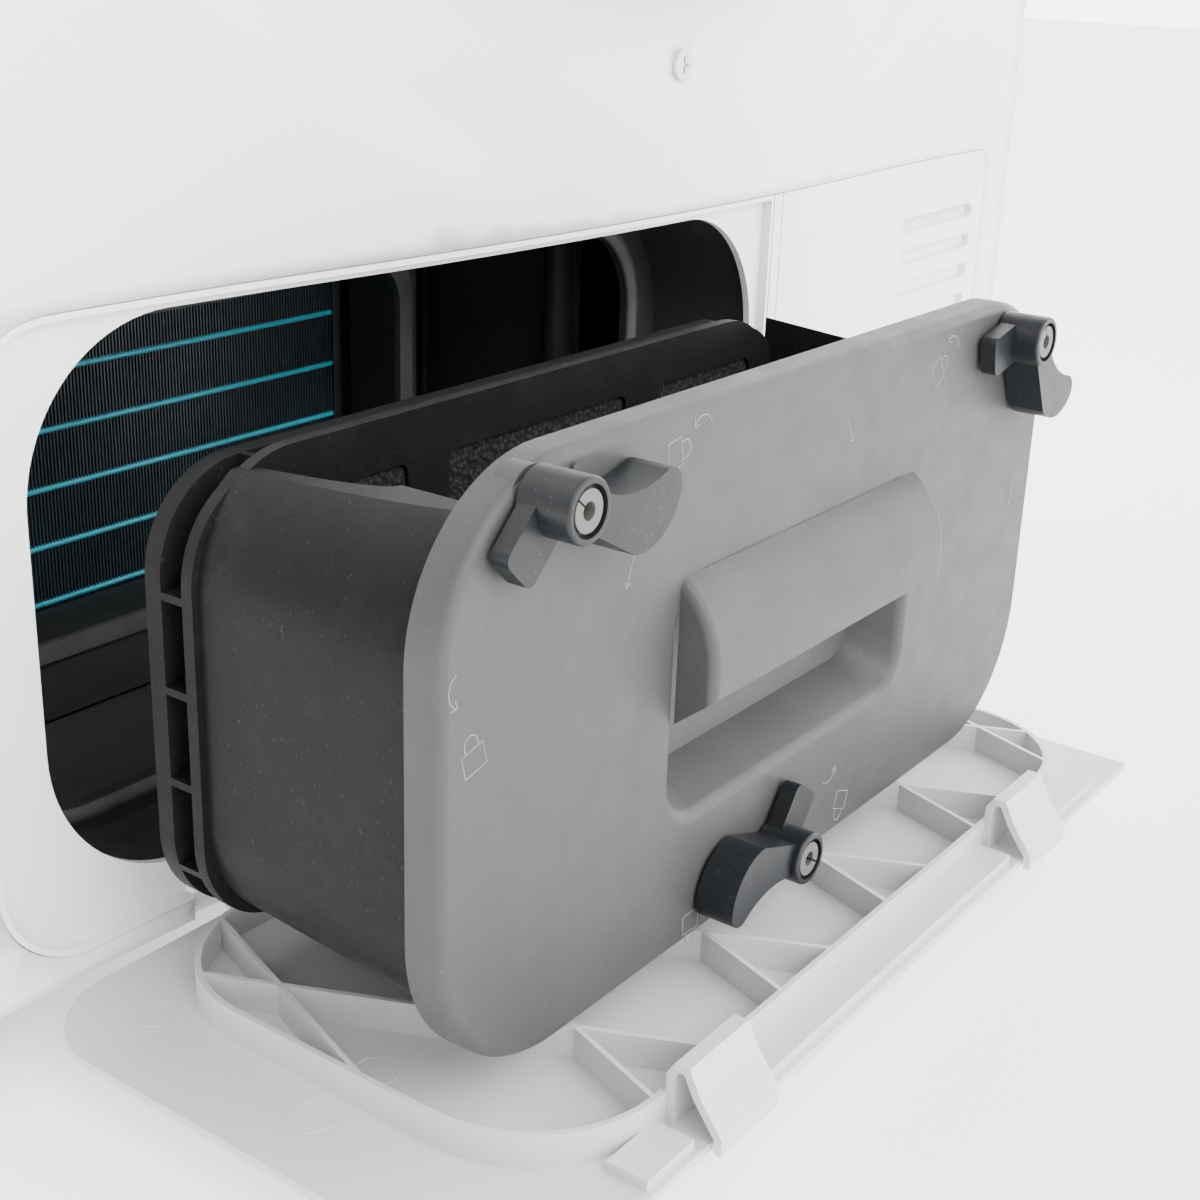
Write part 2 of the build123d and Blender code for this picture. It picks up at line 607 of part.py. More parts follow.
def filter_cover():
    front = COVER_Y[0]
    plate = prism(rounded(COVER_X, COVER_Z, COVER_R), COVER_Y)
    plate = fillet(plate.faces().sort_by(Axis.Y)[0].edges(), 3)
    hollow = rounded(grown(COVER_X, -3), grown(COVER_Z, -3), COVER_R - 3)
    plate -= prism(hollow, (front + 3.2, COVER_Y[1] + 1))
    plate += prism(rounded(grown(GRIP_X, 2), grown(GRIP_Z, 2), 14), (front + 1, front + GRIP_DEEP + 3))
    mouth = Pos(0, front, 0) * (Plane.XZ * rounded(GRIP_X, GRIP_Z, 12))
    floor = Plane.XZ * rounded((-151, -38), (GRIP_Z[0] + 9, GRIP_Z[1] - 1), 10)
    floor = Pos(0, front + GRIP_DEEP, 0) * floor
    plate -= loft([mouth, floor])
    rims = plate.edges().filter_by_position(Axis.Y, front - 0.1, front + 0.1)
    rims = rims.filter_by_position(Axis.X, GRIP_X[0] + 10, GRIP_X[1] + 0.1)
    low = rims.filter_by_position(Axis.Z, GRIP_Z[0] - 1, GRIP_Z[1] - 8)
    plate = fillet(low, 4)
    plate += grip_hood()
    plate += rod_y(-200.0, 172.5, 1.6, (front - 1.0, front + 1))
    for x, z, _ in LATCHES:
        plate += rod_y(x, z, 7, (front + 1, front + 7))
        plate -= rod_y(x, z, POST_R, (front - 2, COVER_Y[1] + 2))
    return plate


def along_slide(sketch, y):
    """A sketch in X and Z pushed along the cartridge's sloping slide direction."""
    length = (y[1] - y[0]) * hypot(1, SLOPE)
    return extrude(Pos(0, y[0], 0) * (Plane.XZ * sketch), amount=length, dir=(0, 1, SLOPE))


def filter_housing():
    """Scoop open at the top, its rear wall with filter windows, and the channelled rear rim."""
    low = 36.0
    outer = rounded(grown(RIM_X, -1.8), (low, RIM_TOP - 1), 32)
    outer += rounded((-100, RIM_X[1] - 1.8), (low, RIM_TOP - 1), 12)
    inner = rounded(grown(RIM_X, -4.3), (low + 2.5, RIM_TOP - 3.5), 29.5)
    inner += rounded((-100, RIM_X[1] - 4.3), (low + 2.5, RIM_TOP - 3.5), 9.5)
    scoop = along_slide(outer, (COVER_Y[1] + 0.2, RIM_Y[0]))
    scoop -= along_slide(inner, (COVER_Y[1] - 5, RIM_Y[0] + 5))
    scoop -= block((-300, RIM_X[1] - 4.3), (-130, 0), (RIM_TOP - 0.5, 300))
    scoop -= block((-205, RIM_X[1] - 4.3), (-130, 0), (RIM_TOP - 8, 300))
    low_rim = low + SLOPE * (RIM_Y[1] - COVER_Y[1])
    face = rounded(RIM_X, (low_rim, RIM_TOP), 26)
    wall = prism(rounded(grown(RIM_X, -3.2), (low_rim - 2, RIM_TOP + 3), 30), WALL_Y)
    for x in WINDOWS:
        wall -= prism(rounded(x, WINDOW_Z, 3), (WALL_Y[0] - 5, WALL_Y[1] + 5))
    rim = prism(face, (WALL_Y[0], RIM_Y[1]))
    rim -= prism(rounded(grown(RIM_X, -13), (low_rim + 13, RIM_TOP - 9), 16), (WALL_Y[0] - 1, RIM_Y[1] + 1))
    channel = prism(rounded(grown(RIM_X, 5), (low_rim - 5, RIM_TOP + 5), 31), CHANNEL_Y)
    channel -= prism(rounded(grown(RIM_X, -7), (low_rim + 7, RIM_TOP - 7), 20), grown(CHANNEL_Y, 1))
    across = grown(CHANNEL_Y, 0.5)
    ribs = [block((x - 1, x + 1), across, (0, 200)) for x in range(-212, 20, 42)]
    ribs += [block((-300, 100), across, (z - 1, z + 1)) for z in range(60, 150, 24)]
    for rib in ribs:
        channel -= rib
    seat = prism(rounded(grown(RIM_X, -3), (low_rim + 3, RIM_TOP - 3), 23), (RIM_Y[1] - 2, RIM_Y[1] + 1))
    seat -= prism(rounded(grown(RIM_X, -9), (low_rim + 9, RIM_TOP - 8), 18), (RIM_Y[1] - 4, RIM_Y[1] + 2))
    return scoop + wall + rim - channel - seat


def filter_seal():
    low_rim = 36.0 + SLOPE * (RIM_Y[1] - COVER_Y[1])
    outline = rounded(grown(RIM_X, -3.2), (low_rim + 3.2, RIM_TOP - 3.2), 22.8)
    seal = prism(outline, (RIM_Y[1] - 2, RIM_Y[1] + 0.6))
    return seal - prism(rounded(grown(RIM_X, -8.8), (low_rim + 8.8, RIM_TOP - 7.8), 18.2), (-30, 0))


def filter_foam():
    """One mat behind the three windows, standing into each of them."""
    mat = prism(rounded((-225.5, 6.5), (56, 151.5), 15.5), (WALL_Y[1] + 0.2, WALL_Y[1] + 12))
    for x in WINDOWS:
        mat += prism(rounded(grown(x, -0.4), grown(WINDOW_Z, -0.4), 3), (WALL_Y[0] + 1, WALL_Y[1] - 0.6))
        mat += prism(rounded(grown(x, -6), (72, 138), 3), (WALL_Y[0] + 2, WALL_Y[1] + 1))
    return mat


def lever_posts():
    posts = []
    for x, z, turn in LATCHES:
        front = COVER_Y[0] - 14.2
        post = rod_y(x, z, POST_R, (front, COVER_Y[0] + 7)) + rod_y(x, z, 4.8, (front, front + 1.0))
        post -= rod_y(x, z, 2.1, (front - 1, COVER_Y[0] + 8))
        slit = Rot(0, 40 - turn, 0) * Pos(-3.5, 0, 0) * Box(5, 10, 0.5)
        posts.append(post - Pos(x, front + 3, z) * slit)
    return posts


def lever():
    """Turn latch about its own hub: short tongue down left, curved finger grip to the right."""
    hub = rod_y(0, 0, HUB_R, (-14.6, -0.8))
    tongue = Rot(0, -45, 0) * block((-18.5, 0), (-6.2, -1.4), (-6, 6))
    tip = tongue.edges().filter_by(Axis.Y).sort_by(Axis.X)[:2]
    tongue = fillet(tip, 2.5)
    edges = [ThreePointArc((3, 5), (17, -0.6), (31.2, 1.8)),
             ThreePointArc((31.2, 1.8), (35.6, 0.6), (36.8, -3.2)),
             ThreePointArc((36.8, -3.2), (31.2, -12.3), (20.0, -15.3)),
             Line((20.0, -15.3), (1, -5)), Line((1, -5), (3, 5))]
    grip = prism(make_face(edges), (-12.6, -1.2))
    whole = hub + tongue + grip
    whole = fillet(whole.faces().sort_by(Axis.Y)[0].edges().filter_by(GeomType.CIRCLE), 0.8)
    return whole - rod_y(0, 0, POST_R + 0.05, (-20, 5)) - rod_y(0, 0, 5.9, (-20, -12.9))


def placed_lever(x, z, turn):
    return Pos(x, COVER_Y[0], z) * Rot(0, -turn, 0) * lever()


# ---------------------------------------------------------------- door

def door_ring():
    ring = rod_y(0, DOOR_Z, DOOR_R, (-28, -3)) - rod_y(0, DOOR_Z, 178, (-40, 10))
    ring = fillet(ring.faces().sort_by(Axis.Y)[0].edges(), 6)
    ring -= rod_y(0, DOOR_Z, DOOR_R - 4, (-24, 0)) - rod_y(0, DOOR_Z, 186, (-24, 0))
    ring += rod_y(0, DOOR_Z, DOOR_R - 4, (-5, -3)) - rod_y(0, DOOR_Z, 186, (-6, 0))
    axis_x, axis_y = DOOR_AXIS
    arm_z = (DOOR_Z - 15, DOOR_Z + 15)
    ring += block((216, axis_x), (-20, -8), arm_z) + rod_z(axis_x, axis_y, 7, arm_z)
    ring -= rod_z(axis_x, axis_y, 3.05, (DOOR_Z - 20, DOOR_Z + 20))
    grip = rod_y(-DOOR_R + 6, DOOR_Z, 30, (-40, -12))
    return ring - grip


def door_window():
    rim = Polyline((177.8, -19), (177.8, -9), (170, -4), (158, 46), (118, 62), (0, 68),
                   (0, 64), (116, 58), (154, 43), (166, -9), (170, -19), close=True)
    profile = make_face(rim)
    bowl = revolve(Plane.XY * profile, axis=Axis.Y)
    return Pos(0, 0, DOOR_Z) * bowl


def door_seal():
    ring = rod_y(0, DOOR_Z, 206, (-2.8, 2)) - rod_y(0, DOOR_Z, 199, (-10, 10))
    return ring & bowed(-30, -0.6, (200, 800))


def door_latch():
    z = (DOOR_Z - 8, DOOR_Z + 8)
    hook = block((-217, -213), (-2.9, 22), z) + block((-213, -209.5), (17, 22), z)
    return hook + block((-221, -209), (-2.9, -1.2), z)


def door_hinge_plate():
    """Bracket on the front panel that holds the door's pin above and below its arm."""
    axis_x, axis_y = DOOR_AXIS
    plate = block((axis_x - 9, axis_x + 30), (5, bow(axis_x) + 1), (DOOR_Z - 40, DOOR_Z + 40))
    plate -= bowed(0, 10, (300, 700))
    for z in ((DOOR_Z - 30, DOOR_Z - 15.4), (DOOR_Z + 15.4, DOOR_Z + 30)):
        plate += block((axis_x - 6, axis_x + 7), (axis_y, 8), z) + rod_z(axis_x, axis_y, 6.5, z)
    return plate + rod_z(axis_x, axis_y, 3.0, (DOOR_Z - 29, DOOR_Z + 29))


# ---------------------------------------------------------------- tank, lint filter and controls

def water_tank():
    x, z = grown(TANK_X, -2), (TANK_Z[0], TANK_Z[1] - 4)
    tank = fillet(block(x, (22, 470), z).edges().filter_by(Axis.Z), 10)
    tank -= fillet(block(grown(x, -2), (24, 468), grown(z, -2)).edges().filter_by(Axis.Z), 8)
    return tank - rod_z(-205, 430, 14, (z[1] - 5, z[1] + 5))


def tank_front():
    front = prism(rounded(TANK_X, TANK_Z, 3), (-10, 22)) & bowed(0, 9, (700, 830))
    scoop = block((-245, -170), (-20, 6 + bow(-206)), (TANK_Z[0] - 5, TANK_Z[0] + 22))
    front -= scoop
    return front + block((-240, -175), (bow(-206) + 5, 22), (TANK_Z[0] + 26, TANK_Z[1] - 12))


def lint_filter():
    frame = block((-86, 86), (42, 60), (210, 306)) - block((-83, 83), (45, 57), (213, 320))
    for x in range(-66, 70, 22):
        frame -= block((x - 9, x + 9), (30, 46), (218, 292))
    frame += block((-86, 86), (42, 60), (303, 306)) - block((-30, 30), (45, 57), (300, 310))
    return frame


def program_knob():
    knob = rod_y(KNOB[0], KNOB[1], 24, (-22, -1.2))
    knob = fillet(knob.edges().sort_by(Axis.Y)[0], 3)
    for i in range(24):
        groove = Rot(0, 15 * i, 0) * Pos(24.4, 0, 0) * Box(1.6, 30, 1.4)
        knob -= Pos(KNOB[0], -14, KNOB[1]) * groove
    return knob + rod_y(KNOB[0], KNOB[1], 3.0, (-2, 20))


def button(x, radius):
    cap = rod_y(x, 782, radius, (bow(x) - 3.4, bow(x) + 9))
    cap = fillet(cap.edges().sort_by(Axis.Y)[0], 0.8)
    return cap + rod_y(x, 782, radius + 2, (bow(x) + 6.2, bow(x) + 9))


def main():
    save(front_panel(), "front_panel")
    frame = plinth_frame()
    for lug in hinge_lugs():
        frame += lug
    save(frame, "plinth_frame")
    save(louvre_cover(), "louvre_cover")
    save(side_panel(-1), "side_panel_left")
    save(side_panel(1), "side_panel_right")
    save(rear_panel(), "rear_panel")
    save(worktop(), "worktop")
    save(base_moulding(), "base_moulding")
    save(filter_sleeve(), "filter_sleeve")
    save(evaporator_frame(), "evaporator_frame")
    save(shaft_seal(), "shaft_seal")
    core, plates = coil_block((160, 225))
    save(core, "evaporator_fins")
    bends = plates + coil_bends((176, 209))
    core, plates = coil_block((245, 335))
    save(core, "condenser_fins")
    save(Compound(children=bends + plates + coil_bends((265, 290, 315))), "coil_tubes")
    save(compressor(), "compressor")
    save(Compound(children=refrigerant_lines()), "refrigerant_lines")
    save(drum_front_support(), "drum_front_support")
    save(Compound(children=[drum_rear_support()] + roller_axles()), "drum_rear_support")
    save(drum_shell(), "drum_shell")
    save(Compound(children=drum_lifters()), "drum_lifters")
    save(drum_belt(), "drum_belt")
    save(motor_housing(), "motor_housing")
    save(fan_housing(), "fan_housing")
    save(motor_shaft(), "motor_shaft")
    save(drive_pulley(), "drive_pulley")
    save(fan_wheel(), "fan_wheel")
    save(roller(-1), "roller_left")
    save(roller(1), "roller_right")
    save(Compound(children=condensate_pump()), "condensate_pump")
    save(control_panel(), "control_panel")
    save(display_window(), "display_window")
    save(control_board(), "control_board")
    save(mains_inlet(), "mains_inlet")
    save(Compound(children=panel_screws()), "panel_screws")
    for i, (x, y) in enumerate(FEET):
        save(foot(x, y), f"foot_{i + 1}")
    save(flap_panel(), "flap_panel")
    save(Compound(children=flap_hinge_pins()), "flap_hinge_pins")
    save(filter_cover(), "filter_cover")
    save(filter_housing(), "filter_housing")
    save(filter_seal(), "filter_seal")
    save(filter_foam(), "filter_foam")
    save(Compound(children=lever_posts()), "lever_posts")
    for i, (x, z, turn) in enumerate(LATCHES):
        save(placed_lever(x, z, turn), f"lever_{i + 1}")
    save(door_ring(), "door_ring")
    save(door_window(), "door_window")
    save(door_seal(), "door_seal")
    save(door_latch(), "door_latch")
    save(door_hinge_plate(), "door_hinge_plate")
    save(water_tank(), "water_tank")
    save(tank_front(), "tank_front")
    save(lint_filter(), "lint_filter")
    save(program_knob(), "program_knob")
    for name, x, radius in BUTTONS:
        save(button(x, radius), name)


main()
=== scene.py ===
"""Looks for the tumble dryer: materials for every CAD node, and finer visible pieces. Metres, CAD frame."""

import json
import math

import bmesh
import bpy
from mathutils import Matrix, Vector
from mathutils.geometry import delaunay_2d_cdt


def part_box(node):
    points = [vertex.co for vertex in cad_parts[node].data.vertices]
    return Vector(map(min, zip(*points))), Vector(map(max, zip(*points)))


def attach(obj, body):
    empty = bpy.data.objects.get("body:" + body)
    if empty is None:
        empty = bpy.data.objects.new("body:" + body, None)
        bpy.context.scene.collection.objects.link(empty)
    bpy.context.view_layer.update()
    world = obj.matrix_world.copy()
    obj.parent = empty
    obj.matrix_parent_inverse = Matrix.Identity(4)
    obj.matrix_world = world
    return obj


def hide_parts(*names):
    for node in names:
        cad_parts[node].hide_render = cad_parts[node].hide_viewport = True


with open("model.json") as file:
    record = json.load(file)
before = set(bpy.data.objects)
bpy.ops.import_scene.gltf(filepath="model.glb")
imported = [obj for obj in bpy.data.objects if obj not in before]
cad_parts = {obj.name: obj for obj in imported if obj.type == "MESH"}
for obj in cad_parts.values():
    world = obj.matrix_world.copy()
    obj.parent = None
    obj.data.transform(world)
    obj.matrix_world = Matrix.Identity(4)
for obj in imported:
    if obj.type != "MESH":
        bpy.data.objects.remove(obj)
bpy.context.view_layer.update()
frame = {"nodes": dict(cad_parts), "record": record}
nodes = frame["nodes"]

SHIFT = -0.2215          # Y of the cabinet's foremost line, which COVER_Y and LIP_Y are measured from
STUDIO = 6.2             # strength of the studio's light
COVER_Y = -0.1108        # front face of the cartridge's cover
FLAP_TOP = 0.0166        # upper face of the open flap, where the ejector rings stand
LIP_Y = 0.0478           # inner flange of the sleeve

BOW_R = 1.553            # radius of the front's broad middle
BOW_HALF = 0.150         # half width of that middle
BOW_END = 0.265          # the front is flat from here out

DOOR_Z = 0.495           # middle of the door
PORT_R = 0.190           # door port in the front sheet
DISH_Z = 0.493           # middle of the shallow dish round the door
DISH_R = (0.282, 0.303)  # the dish is level inside the first radius and gone at the second
DISH_DEPTH = 0.004
DISH_FADE = (0.054, 0.120)   # distance from the middle over which the dish grows to its full depth
SCREW_Z = 0.240
SCREW_R = 0.0026
KEEPER = ((-0.222, 0.483), (-0.208, 0.507))   # slot for the door's hook
NOTCH = ((-0.206, 0.0175), (-0.174, 0.0245))  # notch in the front's lower edge
PLINTH = ((-0.267, 0.024), (0.270, 0.193))
PLINTH_LEFT = 0.028      # corner radii of the plinth's outline
PLINTH_RIGHT = 0.008
SLEEVE = ((-0.2415, 0.045), (0.044, 0.179))
SLEEVE_CORNER = 0.030
LOUVRE_LEFT = 0.183      # the backs of the louvres: left edge, width, bottom and top
LOUVRE_WIDTH = 0.083
LOUVRE_Z = (0.050, 0.176)
FIN_COUNT = 168
FIN_HALF = 0.00030       # half a fin's thickness
FIN_EDGE = 0.0009        # how far the fins stand out from their core
LINE_TOP = 0.1562        # the highest coolant line, and the step down to the next
LINE_STEP = 0.0202
ROLL_X = 0.2955          # the upright edges roll back from here
ROLL_R = 0.002
CORNER_STEPS = 10        # segments in a quarter turn


def bow(x):
    """How far behind the foremost line the front skin lies at a given X."""
    x = abs(x)
    if x <= BOW_HALF:
        return BOW_R - math.sqrt(BOW_R**2 - x * x)
    small = 0.115 * BOW_R / BOW_HALF
    flat = (BOW_R + small) * (1 - math.cos(math.asin(BOW_HALF / BOW_R)))
    return flat - small + math.sqrt(small**2 - max(BOW_END - x, 0.0)**2)


# ---------------------------------------------------------------- materials

def new_material(name):
    """An empty material, its node tree and its shader."""
    m = bpy.data.materials.new(name)
    m.use_nodes = True
    nt = m.node_tree
    shader = nt.nodes["Principled BSDF"]
    return m, nt, shader


def noise(nt, scale, detail=2.0, rough=0.5, stretch=None):
    """Noise in the object's own coordinates, drawn out along an axis with a low stretch."""
    coord = nt.nodes.new("ShaderNodeTexCoord")
    source = coord.outputs["Object"]
    if stretch:
        mapping = nt.nodes.new("ShaderNodeMapping")
        mapping.inputs["Scale"].default_value = stretch
        nt.links.new(source, mapping.inputs["Vector"])
        source = mapping.outputs["Vector"]
    n = nt.nodes.new("ShaderNodeTexNoise")
    n.inputs["Scale"].default_value = scale
    n.inputs["Detail"].default_value = detail
    n.inputs["Roughness"].default_value = rough
    nt.links.new(source, n.inputs["Vector"])
    return n.outputs["Fac"]


def spread(nt, value, low, high, out_low=0.0, out_high=1.0):
    """The value's span from low to high, mapped to the span given."""
    r = nt.nodes.new("ShaderNodeMapRange")
    r.inputs["From Min"].default_value = low
    r.inputs["From Max"].default_value = high
    r.inputs["To Min"].default_value = out_low
    r.inputs["To Max"].default_value = out_high
    nt.links.new(value, r.inputs["Value"])
    return r.outputs["Result"]


def mix(nt, factor, first, second):
    """Two colours, each a tuple or a socket, mixed by the factor."""
    n = nt.nodes.new("ShaderNodeMix")
    n.data_type = "RGBA"
    nt.links.new(factor, n.inputs["Factor"])
    for key, value in (("A", first), ("B", second)):
        if isinstance(value, tuple):
            n.inputs[key].default_value = (*value, 1)
        else:
            nt.links.new(value, n.inputs[key])
    return n.outputs["Result"]


def bump(nt, shader, height, distance):
    b = nt.nodes.new("ShaderNodeBump")
    b.inputs["Strength"].default_value = 1.0
    b.inputs["Distance"].default_value = distance
    nt.links.new(height, b.inputs["Height"])
    nt.links.new(b.outputs["Normal"], shader.inputs["Normal"])


def shade(color, by):
    return tuple(max(0.0, min(1.0, c * by)) for c in color)


def plastic(name, color, rough, grain, grain_scale, vary, dust=0.0, scratches=0.0, spec=0.5):
    """Moulded plastic: fine grain, faint mottling, and dust or fine scratches where it has been handled."""
    m, nt, sh = new_material(name)
    tone = mix(nt, spread(nt, noise(nt, 22, 3), 0.35, 0.65), shade(color, 1 - vary), shade(color, 1 + vary))
    if scratches:
        lines = spread(nt, noise(nt, 260, 2, 0.6, (1.0, 1.0, 0.05)), 0.70, 0.74)
        cross = spread(nt, noise(nt, 210, 2, 0.6, (0.06, 1.0, 1.0)), 0.71, 0.75)
        both = nt.nodes.new("ShaderNodeMath")
        both.operation = "MAXIMUM"
        nt.links.new(lines, both.inputs[0])
        nt.links.new(cross, both.inputs[1])
        faint = spread(nt, both.outputs["Value"], 0, 1, 0, scratches)
        tone = mix(nt, faint, tone, shade(color, 1.7))
    if dust:
        specks = spread(nt, noise(nt, 900, 1, 0.5), 0.70, 0.76, 0, dust)
        tone = mix(nt, specks, tone, (0.55, 0.56, 0.56))
        film = spread(nt, noise(nt, 60, 4, 0.7), 0.5, 0.8, 0, dust * 0.35)
        tone = mix(nt, film, tone, (0.40, 0.41, 0.41))
    nt.links.new(tone, sh.inputs["Base Color"])
    sheen = spread(nt, noise(nt, 90, 3), 0.3, 0.7, rough * 0.88, min(1.0, rough * 1.14))
    nt.links.new(sheen, sh.inputs["Roughness"])
    sh.inputs["Specular IOR Level"].default_value = spec
    bump(nt, sh, noise(nt, grain_scale, 2), grain)
    return m


def enamel(name, color):
    """Baked enamel on sheet: faint orange peel under a clear gloss."""
    m, nt, sh = new_material(name)
    tone = mix(nt, spread(nt, noise(nt, 5, 2), 0.3, 0.7), shade(color, 0.985), shade(color, 1.01))
    nt.links.new(tone, sh.inputs["Base Color"])
    sh.inputs["Roughness"].default_value = 0.28
    sh.inputs["Coat Weight"].default_value = 0.25
    sh.inputs["Coat Roughness"].default_value = 0.12
    bump(nt, sh, noise(nt, 420, 1), 0.000012)
    return m


def metal(name, color, rough, brushed=None, vary=0.06):
    """Bare metal with uneven sheen, its grain drawn out where it is brushed."""
    m, nt, sh = new_material(name)
    sh.inputs["Metallic"].default_value = 1.0
    cloud = spread(nt, noise(nt, 40, 4, 0.6), 0.3, 0.7)
    tone = mix(nt, cloud, shade(color, 1 - vary), shade(color, 1 + vary))
    nt.links.new(tone, sh.inputs["Base Color"])
    grain = noise(nt, 700, 2, 0.5, brushed)
    nt.links.new(spread(nt, grain, 0.3, 0.7, rough * 0.8, min(1.0, rough * 1.25)), sh.inputs["Roughness"])
    bump(nt, sh, grain, 0.00002)
    return m


def rubber(name, color, rough=0.75):
    m, nt, sh = new_material(name)
    tone = mix(nt, spread(nt, noise(nt, 50, 3), 0.3, 0.7), shade(color, 0.85), shade(color, 1.15))
    nt.links.new(tone, sh.inputs["Base Color"])
    sh.inputs["Roughness"].default_value = rough
    sh.inputs["Specular IOR Level"].default_value = 0.3
    bump(nt, sh, noise(nt, 1300, 2), 0.00005)
    return m


def foam_material():
    """Open-cell filter foam: dark cells between slightly lighter strands, the darkening laid on with the
    bump's hollows as painted shade.
    """
    m, nt, sh = new_material("filter_foam_cells_painted_shade")
    coord = nt.nodes.new("ShaderNodeTexCoord")
    cells = nt.nodes.new("ShaderNodeTexVoronoi")
    cells.inputs["Scale"].default_value = 650
    nt.links.new(coord.outputs["Object"], cells.inputs["Vector"])
    depth = cells.outputs["Distance"]
    # painted shade: the colour darkens wherever the bump sinks in
    tone = mix(nt, spread(nt, depth, 0.1, 0.6), (0.030, 0.031, 0.032), (0.010, 0.0105, 0.011))
    nt.links.new(tone, sh.inputs["Base Color"])
    sh.inputs["Roughness"].default_value = 0.95
    sh.inputs["Specular IOR Level"].default_value = 0.15
    bump(nt, sh, depth, -0.0007)
    return m


def glass(name, color):
    m, nt, sh = new_material(name)
    sh.inputs["Base Color"].default_value = (*color, 1)
    sh.inputs["Transmission Weight"].default_value = 1.0
    sh.inputs["IOR"].default_value = 1.47
    nt.links.new(spread(nt, noise(nt, 8, 2), 0.3, 0.7, 0.02, 0.06), sh.inputs["Roughness"])
    return m


def flat_paint(name, color, rough):
    m, nt, sh = new_material(name)
    tone = mix(nt, spread(nt, noise(nt, 30, 3), 0.3, 0.7), shade(color, 0.92), shade(color, 1.06))
    nt.links.new(tone, sh.inputs["Base Color"])
    sh.inputs["Roughness"].default_value = rough
    bump(nt, sh, noise(nt, 600, 2), 0.00004)
    return m


MATERIALS = {
    "enamel": enamel("white_enamel", (0.86, 0.86, 0.858)),
    "white_plastic": plastic("white_plastic", (0.85, 0.85, 0.85), 0.36, 0.000008, 700, 0.01),
    "flap_plastic": plastic("flap_inside_plastic", (0.56, 0.56, 0.575), 0.42, 0.00002, 1400, 0.02, 0.02),
    "cover_grey": plastic("cover_grey_plastic", (0.052, 0.0535, 0.053), 0.44, 0.00003, 1600, 0.03,
                          dust=0.05, scratches=0.08, spec=0.22),
    "housing_grey": plastic("housing_grey_plastic", (0.0090, 0.0092, 0.0094), 0.36, 0.00003, 1500, 0.07,
                            dust=0.03, scratches=0.015, spec=0.08),
    "latch_slate": plastic("latch_slate_plastic", (0.0115, 0.0129, 0.0146), 0.36, 0.00004, 1300, 0.06,
                           dust=0.04, scratches=0.02, spec=0.22),
    "post_grey": plastic("post_grey_plastic", (0.095, 0.092, 0.086), 0.45, 0.00003, 1500, 0.05, spec=0.35),
    "black_plastic": plastic("black_plastic", (0.013, 0.0135, 0.014), 0.5, 0.00004, 1200, 0.12,
                             dust=0.03, spec=0.25),
    "soft_seal": rubber("soft_seal_rubber", (0.07, 0.072, 0.074), 0.6),
    "black_rubber": rubber("black_rubber", (0.012, 0.012, 0.012)),
    "foam": foam_material(),
    "coil_fin": plastic("coated_fins", (0.012, 0.026, 0.036), 0.42, 0.00001, 900, 0.25, 0.02),
    "bare_fin": metal("bare_fins", (0.62, 0.63, 0.65), 0.35, (1.0, 1.0, 0.05)),
    "copper": metal("copper_tube", (0.62, 0.30, 0.18), 0.32),
    "galvanised": metal("galvanised_sheet", (0.42, 0.43, 0.44), 0.42, None, 0.16),
    "stainless": metal("stainless_sheet", (0.50, 0.50, 0.50), 0.28, (1.0, 0.04, 1.0)),
    "machined": metal("machined_steel", (0.55, 0.55, 0.56), 0.22),
    "can_black": flat_paint("compressor_lacquer", (0.010, 0.010, 0.011), 0.34),
    "motor_alu": metal("cast_alloy", (0.42, 0.43, 0.44), 0.5),
    "duct_grey": plastic("duct_grey_plastic", (0.055, 0.058, 0.061), 0.5, 0.00004, 1100, 0.06, spec=0.3),
    "bowl_glass": glass("bowl_glass", (0.86, 0.90, 0.91)),
    "display": plastic("display_gloss", (0.006, 0.007, 0.009), 0.08, 0.000002, 900, 0.02),
    "board_green": flat_paint("circuit_board", (0.01, 0.07, 0.03), 0.4),
    "tank_smoke": plastic("tank_smoke_plastic", (0.20, 0.23, 0.26), 0.22, 0.00001, 500, 0.04),
    "screw_zinc": metal("zinc_screw", (0.60, 0.60, 0.60), 0.25),
    "knob_white": plastic("knob_plastic", (0.80, 0.80, 0.80), 0.3, 0.00001, 900, 0.02),
}
TEAL = plastic("teal_tube_coating", (0.030, 0.40, 0.50), 0.30, 0.00001, 900, 0.10)
BEND_GREY = metal("tinned_bend", (0.16, 0.16, 0.15), 0.38)
SLEEVE_GREY = plastic("sleeve_grey_plastic", (0.030, 0.031, 0.032), 0.48, 0.00003, 1300, 0.08,
                      dust=0.03, spec=0.3)
# painted highlight: the raised marks are the cover's own plastic, coloured lighter for the light their edges
# catch
MARK_HIGHLIGHT_GREY = plastic("moulded_mark_painted_highlight", (0.22, 0.222, 0.22), 0.40, 0.00001, 1500, 0.03, spec=0.35)

for entry in frame["record"]["subparts"]:
    target = nodes[entry["node"]]
    target.data.materials.clear()
    target.data.materials.append(MATERIALS[entry["material_slot"]])
nodes["coil_tubes"].data.materials[0] = BEND_GREY
nodes["filter_sleeve"].data.materials[0] = SLEEVE_GREY
nodes["evaporator_frame"].data.materials[0] = SLEEVE_GREY


# ---------------------------------------------------------------- pieces

def add_mesh(name, verts, faces, material, body, smooth=True):
    mesh = bpy.data.meshes.new(name)
    mesh.from_pydata(verts, [], faces)
    mesh.validate()
    mesh.materials.append(material)
    if smooth:
        mesh.shade_smooth()
    piece = bpy.data.objects.new(name, mesh)
    bpy.context.scene.collection.objects.link(piece)
    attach(piece, body)
    return piece


BOX_FACES = [(0, 1, 3, 2), (4, 6, 7, 5), (0, 4, 5, 1), (2, 3, 7, 6), (0, 2, 6, 4), (1, 5, 7, 3)]


def add_box(verts, faces, low, high):
    """Append one upright box to the lists."""
    start = len(verts)
    verts += [(x, y, z) for x in (low[0], high[0]) for y in (low[1], high[1]) for z in (low[2], high[2])]
    faces += [tuple(start + v for v in face) for face in BOX_FACES]


